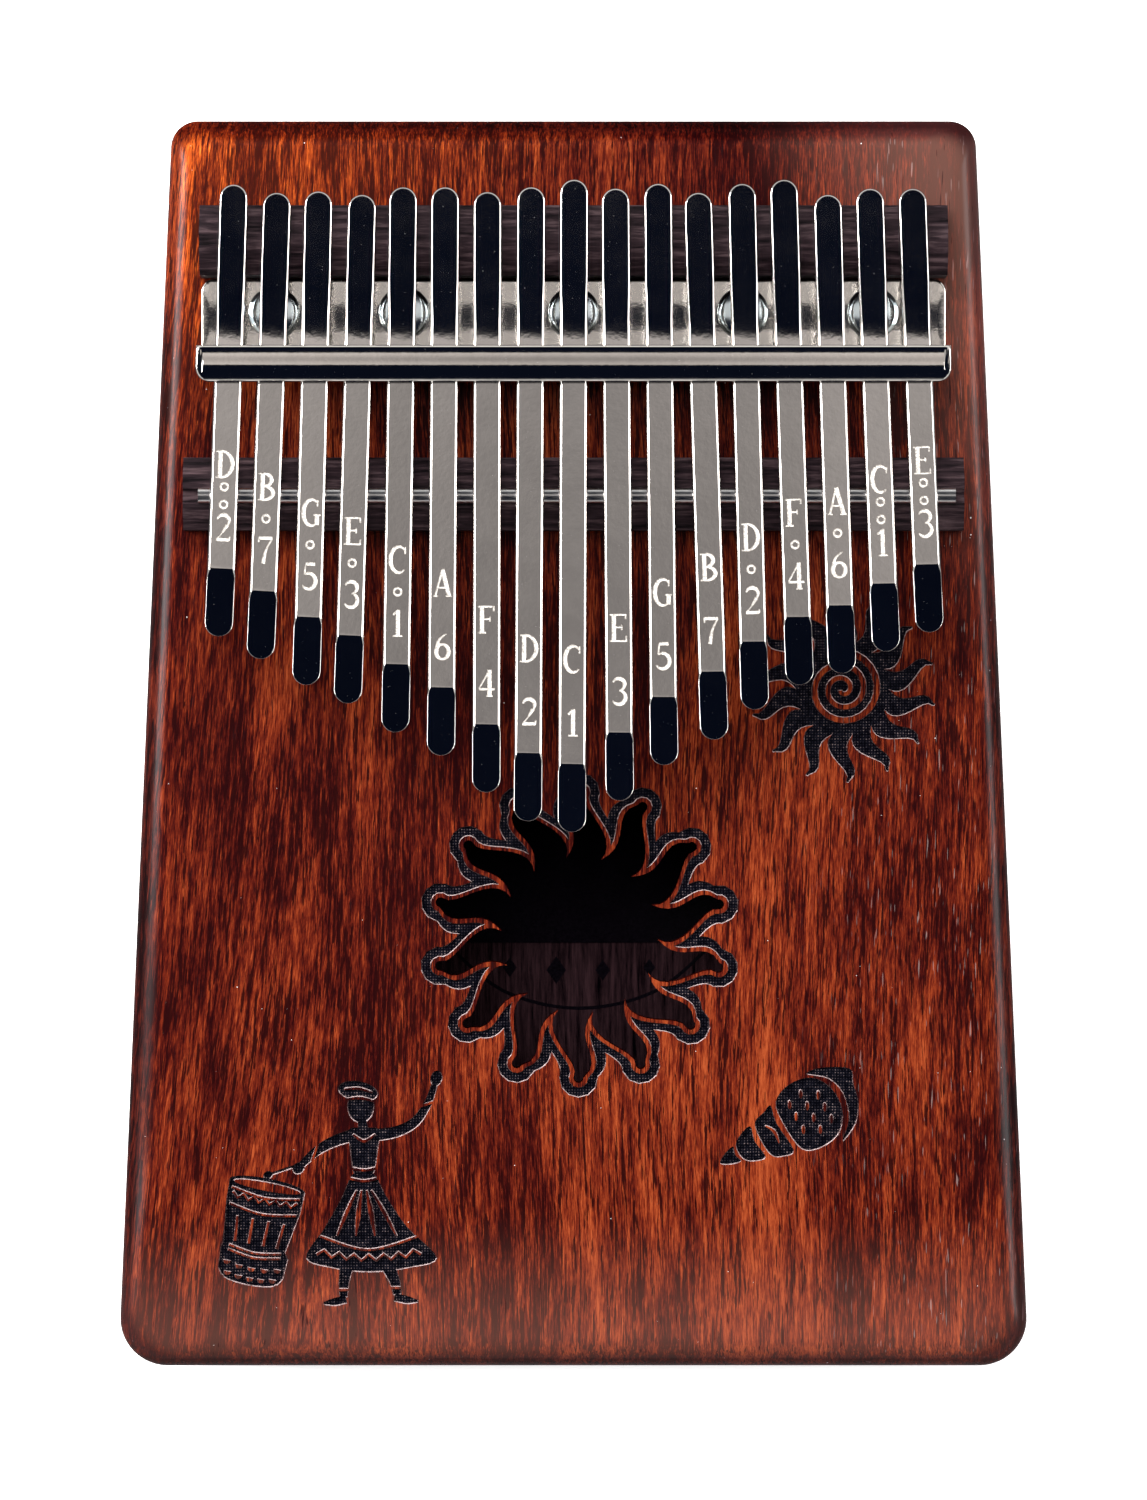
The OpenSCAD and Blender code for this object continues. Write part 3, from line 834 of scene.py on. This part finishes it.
def build_soundboard():
    """The top with its rounded edge, sun-shaped hole and etched pictures."""
    rings = [edge_ring(90 * k / 10) for k in range(11)]
    bottom = [(x, y, BOARD_UNDER) for x, y, _ in rings[0]]
    hole = hole_loop()
    cuts, islands = [hole_loop(2.15)], [hole_loop(0.65)]
    for picture in (spiral_sun(), drum(), drummer(), shell()):
        cuts += picture[0]
        islands += picture[1]
    top = Sheet([(x, y) for x, y, _ in rings[-1]], [hole], cuts, islands)
    under = Sheet([(x, y) for x, y, _ in bottom], [hole])
    shape = Shape()
    shape.rings([bottom] + rings)
    top.build(shape, lambda x, y, h: (x, y, BOARD_TOP + h), ETCH_DEPTH, ETCH_SLOPE, (0, 1, 2))
    under.build(shape, lambda x, y, h: (x, y, BOARD_UNDER))
    shape.rings([[(x, y, z) for x, y in hole] for z in (BOARD_TOP, BOARD_UNDER)])
    board = shape.make("soundboard_top", [BOARD_WOOD, ETCHED, ETCHED_RIM])
    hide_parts("soundboard")
    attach(board, "box")


# ---- Engraved note names ----

THIN = 0.066
THICK = 0.155


def bar(x0, y0, x1, y1, width=THIN):
    return ribbon([(x0, y0, width), (x1, y1, width)])


def bow(cx, cy, rx, ry, start, end):
    """An arc stroke that swells in its middle."""
    points = []
    for k, (x, y) in enumerate(arc_points(cx, cy, rx, ry, start, end, 14)):
        points.append((x, y, lerp(THIN, THICK, math.sin(math.pi * k / 14))))
    return ribbon(points, 1)


# What several letters share: an upright stroke with serifs, and an E's two upper arms
STEM = [bar(0.16, 0, 0.16, 1, THICK)] + [bar(0.01, y, 0.31, y) for y in (THIN / 2, 1 - THIN / 2)]
TWO_ARMS = [bar(0.16, 0.97, 0.58, 0.97), bar(0.58, 0.8, 0.58, 1.0), bar(0.16, 0.52, 0.44, 0.52),
            bar(0.44, 0.42, 0.44, 0.62)]

# Strokes of the letters and digits, one unit tall and about 0.65 wide
GLYPHS = {
    "A": [bar(0.07, 0, 0.33, 1, THIN * 1.2), bar(0.32, 1, 0.58, 0, THICK), bar(0.16, 0.33, 0.5, 0.33),
          bar(0, 0.03, 0.18, 0.03), bar(0.44, 0.03, 0.68, 0.03)],
    "B": STEM + [bow(0.18, 0.745, 0.3, 0.23, -90, 90), bow(0.18, 0.275, 0.37, 0.25, -90, 90)],
    "C": [bow(0.36, 0.5, 0.3, 0.47, 48, 312), bar(0.58, 0.7, 0.58, 0.97)],
    "D": STEM + [bow(0.18, 0.5, 0.42, 0.475, -90, 90)],
    "E": STEM + TWO_ARMS + [bar(0.16, 0.03, 0.6, 0.03), bar(0.6, 0.0, 0.6, 0.22)],
    "F": STEM + TWO_ARMS,
    "G": [bow(0.36, 0.5, 0.3, 0.47, 48, 300), bar(0.56, 0.72, 0.56, 0.97),
          bar(0.55, 0.06, 0.55, 0.42, THICK), bar(0.42, 0.42, 0.68, 0.42)],
    "1": [bar(0.34, 0, 0.34, 1, THICK), bar(0.16, 0.8, 0.34, 0.97, THIN * 1.4),
          bar(0.16, 0.03, 0.52, 0.03)],
    "2": [bow(0.32, 0.74, 0.22, 0.23, 165, -42),
          ribbon([(0.48, 0.6, THICK), (0.28, 0.28, 0.07), (0.09, 0.06, 0.07)]),
          bar(0.08, 0.06, 0.56, 0.06, THICK * 0.8), bar(0.56, 0.03, 0.58, 0.2)],
    "3": [bow(0.3, 0.75, 0.22, 0.22, 160, -80), bow(0.3, 0.28, 0.25, 0.255, 85, -155)],
    "4": [bar(0.42, 0, 0.42, 1, THICK), bar(0.42, 0.98, 0.04, 0.3),
          bar(0.03, 0.28, 0.62, 0.28, THIN * 1.4), bar(0.3, 0.03, 0.54, 0.03)],
    "5": [bar(0.17, 0.94, 0.52, 0.94, THICK * 0.8), bar(0.18, 0.94, 0.14, 0.55),
          bow(0.29, 0.31, 0.26, 0.29, 125, -150)],
    "6": [bow(0.33, 0.3, 0.23, 0.27, -100, 100), bow(0.33, 0.3, 0.23, 0.27, 80, 280),
          ribbon([(0.11, 0.32, THICK), (0.2, 0.72, 0.1), (0.48, 0.97, THIN)])],
    "7": [bar(0.08, 0.94, 0.58, 0.94, THICK * 0.8),
          ribbon([(0.57, 0.93, THIN), (0.36, 0.5, 0.1), (0.26, 0.0, THICK)]),
          bar(0.08, 0.78, 0.08, 0.98)],
}
SCALE = "cdefgab"
# How far above the digit the rings of each octave lie
DOTS = {"4": (), "5": (4.6,), "6": (3.4, 6.0)}
DOT_R = 0.72
DIGIT_H = 4.0
LETTER_H = 4.1


def note_marks(note, tip_y):
    """The note's letter, its octave dots and its number, above the tine's tip."""
    letter, octave = note
    digit_y, letter_y = tip_y + 16.0, tip_y + 25.3
    digit = str(SCALE.index(letter) + 1)
    cuts = placed(GLYPHS[digit], -1.25, digit_y - DIGIT_H / 2, scale=DIGIT_H)
    cuts += placed(GLYPHS[letter.upper()], -1.35, letter_y - LETTER_H / 2, scale=LETTER_H)
    islands = []
    for above in DOTS[octave]:
        cuts.append(ellipse(0, digit_y + above, DOT_R, DOT_R, steps=16))
        islands.append(ellipse(0, digit_y + above, DOT_R / 2, DOT_R / 2, steps=12))
    return cuts, islands


# ---- Tines ----

# The rounding of a tine's edge from its flat top down to its side: inset and drop
EDGE_PROFILE = (
    (0.41, 0.0), (0.38, 0.0), (0.34, 0.010), (0.29, 0.045),
    (0.20, 0.115), (0.10, 0.215), (0.03, 0.31), (0.0, 0.43),
)
# The underside's, from the side to its flat: a smaller copy without the first three rings
UNDER_ROUND = 0.6
UNDER_PROFILE = [(inset * UNDER_ROUND, drop * UNDER_ROUND) for inset, drop in EDGE_PROFILE[:2:-1]]
# Where the bend at the playing tip needs points, along the tine from its crease
CREASE_STEPS = (-4, -1.4, -1.0, -0.6, -0.3, -0.1, 0.1, 0.6, 1.4, 2.4, 3.5)


def tine_under(y, crease):
    """Height of a tine's underside above the soundboard."""
    height = ROD_TOP + ROD_GAP + (ROD_Y - min(y, BEND_FRONT)) * FRONT_SLOPE
    height += max(0.0, crease - y) * (TIP_SLOPE - FRONT_SLOPE)
    bent = max(0.0, min(y, BEND_REAR) - BEND_FRONT)
    height += bent * bent * (FRONT_SLOPE + REAR_SLOPE) / (2 * (BEND_REAR - BEND_FRONT)) - bent * FRONT_SLOPE
    return height + max(0.0, y - BEND_REAR) * REAR_SLOPE


def rounding_share(y, crease):
    """How much of the edge's rounding is left at y: least at the flattened playing tip."""
    return lerp(0.13, 1.0, smooth((y - crease + 1.4) / 1.4)) * lerp(1.0, 0.62, smooth((y - BEND_REAR) / 3))


def tine_outline(tip, far, inset, stations, crease):
    """A strip with round ends, with a pair of points at each station along it."""
    r = TINE_W / 2
    right = [(r - inset * rounding_share(y, crease), y) for y in stations]
    left = [(-x, y) for x, y in reversed(right)]
    rear_r = r - inset * rounding_share(far, crease)
    rear = arc_points(0, far - r, rear_r, rear_r, 0, 180, 16)[1:-1]
    front_r = r - inset * rounding_share(tip, crease)
    front = arc_points(0, tip + r, front_r, front_r, 180, 360, 16)[1:-1]
    return right + rear + left + front


def build_tine(note, hinge):
    """One continuous steel strip in place of a tine's two CAD nodes."""
    tail, blade = "tine_" + note + "_tail", "tine_" + note + "_blade"
    pivot = Vector(hinge["pos_m"]) / MM
    across = Vector(hinge["axis"])
    forward = Vector((across.y, -across.x, 0))
    r = TINE_W / 2
    tip = SPLIT_Y - ((pivot.y - box_mm(blade)[0].y - r) / across.x + r)
    far = SPLIT_Y + ((box_mm(tail)[1].y - pivot.y - r) / across.x + r)
    crease = tip + TIP_LEN
    stations = [tip + r] + [crease + step for step in CREASE_STEPS]
    for end, steps in ((BEND_FRONT, 8), (BEND_REAR, 8), (far - r, 3)):
        start = stations[-1]
        stations += [lerp(start, end, k / steps) for k in range(1, steps + 1)]

    def place(x, y, height):
        flat = pivot + across * x + forward * (SPLIT_Y - y)
        return (flat.x, flat.y, BOARD_TOP + tine_under(y, crease) + TINE_T + height)

    def place_under(x, y, height):
        return place(x, y, height + UNDER_PROFILE[-1][1] - TINE_T)

    def flat_side(inset, cuts=(), islands=()):
        """The flat top or underside, with a line straight across it at each station."""
        lines = []
        for y in stations[1:-1]:
            half = r - inset * rounding_share(y, crease)
            lines.append(((-half, y), (half, y)))
        return Sheet(tine_outline(tip, far, inset, stations, crease), (), cuts, islands, lines)

    rings = []
    for inset, drop in EDGE_PROFILE:
        ring = tine_outline(tip, far, inset, stations, crease)
        rings.append([place(x, y, -drop * rounding_share(y, crease)) for x, y in ring])
    for inset, drop in UNDER_PROFILE:
        ring = tine_outline(tip, far, inset, stations, crease)
        rings.append([place(x, y, drop - TINE_T) for x, y in ring])
    shape = Shape()
    shape.rings(rings)
    top = flat_side(EDGE_PROFILE[0][0], *note_marks(note, tip))
    top.build(shape, place, MARK_DEPTH, MARK_SLOPE, (0, 1, 0))
    flat_side(UNDER_PROFILE[-1][0]).build(shape, place_under)
    tine = shape.make("tine_" + note, [TINE_STEEL, MARK_FILL])
    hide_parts(tail, blade)
    start = pivot * MM
    end = (pivot + forward * (SPLIT_Y - tip)) * MM
    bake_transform(tine)
    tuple(start)
    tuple(end)


# ---- Bracket and screws ----

BAR_REAR = 58.35
BAR_FRONT = 52.95
SHEET_T = 1.4
LIP_GAP = 0.15
# The crown's highest line, where its front and rear curve down faster, and its ends' length
CROWN_Y = 55.9
CROWN_FRONT = 55.25
CROWN_REAR = 57.3
CROWN_END = 1.1
# Twice the radii of those curves
CROWN_D = 30
CROWN_FRONT_D = 5.2
CROWN_REAR_D = 6
CROWN_END_D = 3.2
FLANGE_DIP = 0.36
TINE_PITCH = 6.33
SLOT_HALF = TINE_W / 2 + 0.35
SLOT_FLOOR = 0.35
SCREW_Y = 63.6
HEAD_R = 3.85
FACE_R = 2.4
FACE_TOP = 1.78
FACE_DOME = 0.13


def half_rounded(half, front, rear, front_r, rear_r, inset=0.0):
    """An anticlockwise plan outline whose two front and two rear corners are rounded."""
    front_r, rear_r = max(front_r - inset, 0.05), max(rear_r - inset, 0.05)
    right = arc_points(half - inset - front_r, front + inset + front_r, front_r, front_r, -90, 0, 8)
    right += arc_points(half - inset - rear_r, rear - inset - rear_r, rear_r, rear_r, 0, 90, 8)
    return right + [(-x, y) for x, y in right[::-1]]


def capped_plate(shape, outline_at, bottom, height_at, rounding, stations, end_stations=(), slot=0):
    """A plate from a flat bottom up to height_at(x, y), with its top edge rounded.

    rounding lists (inset, drop) from the side to the top, and stations are lines along X.
    """
    outer = outline_at(0.0)
    shape.add([(x, y, bottom) for x, y in outer], [list(range(len(outer)))[::-1]], slot)
    rings = [[(x, y, bottom) for x, y in outer]]
    for inset, drop in rounding:
        rings.append([(x, y, height_at(x, y) - drop) for x, y in outline_at(inset)])
    shape.rings(rings, slot)
    inner = outline_at(rounding[-1][0])
    xs, ys = [x for x, _ in inner], [y for _, y in inner]
    lines = []
    for y in stations:
        lines.append(((min(xs) + 0.9, y), (max(xs) - 0.9, y)))
    for x in end_stations:
        lines += [((side * x, min(ys) + 1.2), (side * x, max(ys) - 0.6)) for side in (-1, 1)]
    top = Sheet(inner, (), (), (), lines)
    top.build(shape, lambda x, y, h: (x, y, height_at(x, y)), slots=(slot, slot, slot))


def block(shape, low, high):
    """A plain box between two opposite corners."""
    (ax, ay, az), (bx, by, bz) = low, high
    shape.rings([[(ax, ay, z), (bx, ay, z), (bx, by, z), (ax, by, z)] for z in (az, bz)])
    shape.add([(ax, ay, bz), (bx, ay, bz), (bx, by, bz), (ax, by, bz)], [(0, 1, 2, 3)])


def build_bracket():
    """The crowned pressure bar, its slotted riser and the flange that is screwed down."""
    half, flange_rear, top = box_mm("pressure_bracket")[1]
    lip = BOARD_TOP + tine_under(BAR_FRONT, BAR_FRONT) + TINE_T + LIP_GAP

    def bar_height(x, y):
        height = top - (y - CROWN_Y) ** 2 / CROWN_D
        height -= max(0.0, CROWN_FRONT - y) ** 2 / CROWN_FRONT_D
        height -= max(0.0, y - CROWN_REAR) ** 2 / CROWN_REAR_D
        return height - max(0.0, abs(x) - half + CROWN_END) ** 2 / CROWN_END_D

    shape = Shape()
    capped_plate(
        shape,
        lambda inset: half_rounded(half, BAR_FRONT, BAR_REAR, 2.0, 0.6, inset),
        lip,
        bar_height,
        ((0, 0.22), (0.03, 0.1), (0.1, 0.02), (0.18, 0)),
        [lerp(BAR_FRONT + 0.3, BAR_REAR - 0.3, k / 22) for k in range(23)],
        [half - CROWN_END + 0.17 * k for k in range(5)],
    )

    def flange_height(x, y):
        return BOARD_TOP + SHEET_T - FLANGE_DIP * smooth((65.7 - y) / 5.4)

    capped_plate(
        shape,
        lambda inset: half_rounded(half - 0.25, BAR_REAR - 0.7, flange_rear, 0.3, 2.0, inset),
        BOARD_TOP,
        flange_height,
        ((0, 0.5), (0.06, 0.25), (0.16, 0.1), (0.3, 0.02), (0.42, 0)),
        [lerp(BAR_REAR - 0.2, flange_rear - 0.6, k / 20) for k in range(21)],
        slot=1,
    )
    riser_front = BAR_REAR - SHEET_T
    slot_floor = BOARD_TOP + tine_under(riser_front, 0) - SLOT_FLOOR
    block(shape, (-half, riser_front, BOARD_TOP), (half, BAR_REAR, slot_floor))
    edges = [-half] + [TINE_PITCH * k + side * SLOT_HALF for k in range(-8, 9) for side in (-1, 1)] + [half]
    for left, right in zip(edges[::2], edges[1::2]):
        block(shape, (left, riser_front, slot_floor), (right, BAR_REAR, lip + 0.3))
    bracket = shape.make("bracket", [PLATE_STEEL, FLANGE_STEEL], 40)
    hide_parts("pressure_bracket")
    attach(bracket, "box")


def cross_recess(half_width, reach):
    """The outline of a cross, one quarter at a time."""
    loop = []
    quarter = [(half_width, half_width), (half_width, reach), (-half_width, reach)]
    for _ in range(4):
        loop += quarter
        quarter = [(-y, x) for x, y in quarter]
    return loop


def build_screws():
    """Five pan-head screws with cross recesses. profile runs from a screw's foot up to its face."""
    seat = BOARD_TOP + SHEET_T
    profile = [(1.75, -13.0), (1.75, 0.0), (HEAD_R, 0.0), (HEAD_R, 0.6), (HEAD_R - 0.07, 0.95)]
    profile += [(HEAD_R - 0.25, 1.25), (3.35, 1.42), (3.22, 1.50), (3.12, 1.53), (2.9, 1.57)]
    profile.append((FACE_R, FACE_TOP - FACE_DOME))
    shape = Shape()
    for x, turn in ((-44.2, 16), (-25, 40), (0, 0), (25, 50), (44.2, 74)):

        def circle(r, x=x):
            return ellipse(x, SCREW_Y, r, r, 0, 48)

        def place(px, py, h, x=x):
            r = math.hypot(px - x, py - SCREW_Y)
            return (px, py, seat + FACE_TOP - FACE_DOME * (r / FACE_R) ** 2 + h)

        shape.rings([[(px, py, seat + z) for px, py in circle(r)] for r, z in profile])
        lines = [circle(r) + circle(r)[:1] for r in (0.8, 1.6)]
        cross = placed([cross_recess(0.5, 2.0)], x, SCREW_Y, turn)
        Sheet(circle(FACE_R), (), cross, (), lines).build(shape, place, 1.2, 0.12)
    screws = shape.make("screws", [SCREW_ZINC], 40)
    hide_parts("bracket_screws")
    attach(screws, "box")


# ---- CAD nodes that keep their own shape ----


def dress(node, material, bevel=0.0, sharp=30):
    """Gives a CAD node its finish, and rounds its sharp edges by bevel millimetres."""
    obj = frame["nodes"][node]
    obj.data.materials.clear()
    obj.data.materials.append(material)
    if bevel:
        modifier = obj.modifiers.new("edges", "BEVEL")
        modifier.width = bevel * MM
        modifier.segments = 3
        modifier.limit_method = "ANGLE"
        modifier.angle_limit = math.radians(sharp)
    soften(obj, sharp)


def build_inner_print():
    """Plain printed marks inside the box, below the label: an arc and a row of diamonds."""
    shape = Shape()
    cx, cy = HOLE_CENTRE
    arc = [(cx + 24 * math.sin(a), cy + 10 - 21.5 * math.cos(a), 0.5) for a in (-1, -0.5, 0, 0.5, 1)]
    prints = [ribbon(arc, 6)]
    for k, size in ((-1.5, 1.5), (-0.5, 2.1), (0.5, 1.6), (1.5, 1.3)):
        prints.append(ellipse(cx + 7.0 * k, cy - 5.8 + 0.2 * k * k, size * 0.7, size, 0, 4))
    for loop in prints:
        Sheet(loop).build(shape, lambda x, y, h: (x, y, BACK_T + 0.03))
    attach(shape.make("inner_print", [LABEL_BLACK]), "box")


def dress_box():
    for node in ("side_left", "side_right"):
        dress(node, SIDE_WOOD)
    for node in ("end_front", "end_rear"):
        dress(node, END_WOOD)
    dress("back_board", BACK_WOOD)
    dress("screw_block", BLOCK_WOOD)
    dress("inner_label", LABEL_BLACK)
    dress("rear_bridge", BRIDGE_WOOD, 0.3)
    dress("front_bridge", BRIDGE_WOOD, 0.25)
    dress("bridge_rod", ROD_STEEL, 0.2)


# ---- Floor, light and camera ----


def build_floor():
    """A large white floor that glows a little, and that the metal doesn't mirror."""
    half = 3.0
    mesh = bpy.data.meshes.new("floor")
    corners = [(-half, -half, 0), (half, -half, 0), (half, half, 0), (-half, half, 0)]
    mesh.from_pydata(corners, [], [(0, 1, 2, 3)])
    floor = new_object("floor", mesh)
    g = new_material("floor white")
    mottle = g.noise(g.millimetres(), 0.004, 2.0)
    colour = g.ramp(mottle, [(0.3, (0.88, 0.88, 0.88)), (0.7, (0.92, 0.92, 0.92))])
    glow = {"Emission Color": (1, 1, 1, 1), "Emission Strength": 0.7}
    mesh.materials.append(g.surface(colour, 0.9, extra=glow))
    floor.visible_glossy = False


def build_world():
    """A studio: bright walls to the sides and behind, dark overhead, and a grey card above.

    limit is how high the walls reach in each direction. The card hangs a little towards +Y, over
    the middle, and is darkest along its own middle line.
    """
    world = bpy.data.worlds.new("studio")
    bpy.context.scene.world = world
    g = Graph(world)
    x, y, z = g.split(g.add("TexCoord").outputs["Generated"])
    flat = g.math("SQRT", g.minus(1.0001, g.times(z, z)))
    side = g.math("DIVIDE", g.math("ABSOLUTE", x), flat)
    behind = g.math("MAXIMUM", g.math("DIVIDE", y, flat), 0.0)
    limit = g.plus(g.times(g.times(side, side), 0.55), g.times(behind, 0.3))
    limit = g.plus(limit, 0.15)
    walls = g.fade(g.minus(limit, z), -0.08, 0.08)
    walls = g.times(walls, g.fade(z, -0.15, 0.0, 0.25, 1.0))
    up = g.math("MAXIMUM", z, 0.01)
    lean = g.math("DIVIDE", y, up)
    spread = g.math("DIVIDE", g.math("ABSOLUTE", x), up)
    card = g.times(g.fade(lean, -0.03, -0.01), g.fade(lean, 0.26, 0.22))
    card = g.times(card, g.fade(spread, 0.6, 0.5))
    off_middle = g.math("DIVIDE", g.math("ABSOLUTE", g.minus(lean, 0.10)), 0.12)
    light = g.times(g.math("POWER", off_middle, 1.5), 0.4)
    light = g.plus(light, g.times(spread, 4.0))
    card = g.times(card, g.math("MINIMUM", g.plus(light, 0.29), 0.85))
    colour = g.blend(walls, g.blend(card, (0.003, 0.005, 0.013, 1), (1.0, 0.94, 0.905, 1)), (1, 1, 1, 1))
    background = g.add("Background", {"Color": colour, "Strength": 1.0})
    g.add("OutputWorld", {"Surface": background.outputs[0]})


def area_light(name, place, size, power, glossy=True):
    """A soft rectangular light that looks at the middle of the object."""
    data = bpy.data.lights.new(name, "AREA")
    data.shape = "RECTANGLE"
    data.size, data.size_y = size
    data.energy = power
    light = new_object(name, data)
    light.location = place
    light.rotation_euler = (Vector((0, 0, 0.02)) - Vector(place)).to_track_quat("-Z", "Y").to_euler()
    light.visible_glossy = glossy


def build_camera():
    """Straight above the object, with the far end at the top of the picture."""
    distance = 1.0
    seen_length = 0.2231
    data = bpy.data.cameras.new("camera")
    data.sensor_fit = "VERTICAL"
    data.sensor_height = 36.0
    data.lens = data.sensor_height * distance / seen_length
    data.clip_start = 0.01
    camera = new_object("camera", data)
    camera.location = (0, -0.001, BOARD_UNDER * MM + distance)
    bpy.context.scene.camera = camera


build_camera()
build_soundboard()
build_bracket()
build_screws()
build_inner_print()
for joint in frame["joints"]:
    if joint["type"] == "hinge":
        build_tine(joint["name"].removeprefix("pluck_"), joint)
dress_box()
build_floor()
build_world()
area_light("overhead", (0, 0.55, 1.5), (1.0, 1.0), 20, glossy=False)
area_light("far_key", (-0.25, 0.8, 1.1), (1.0, 0.5), 16, glossy=False)
area_light("left_strip", (-1.0, 0.24, 0.50), (0.50, 0.50), 26)
area_light("right_box", (1.0, 0.0, 0.36), (0.7, 0.35), 9)
bpy.context.scene.view_settings.view_transform = "Standard"
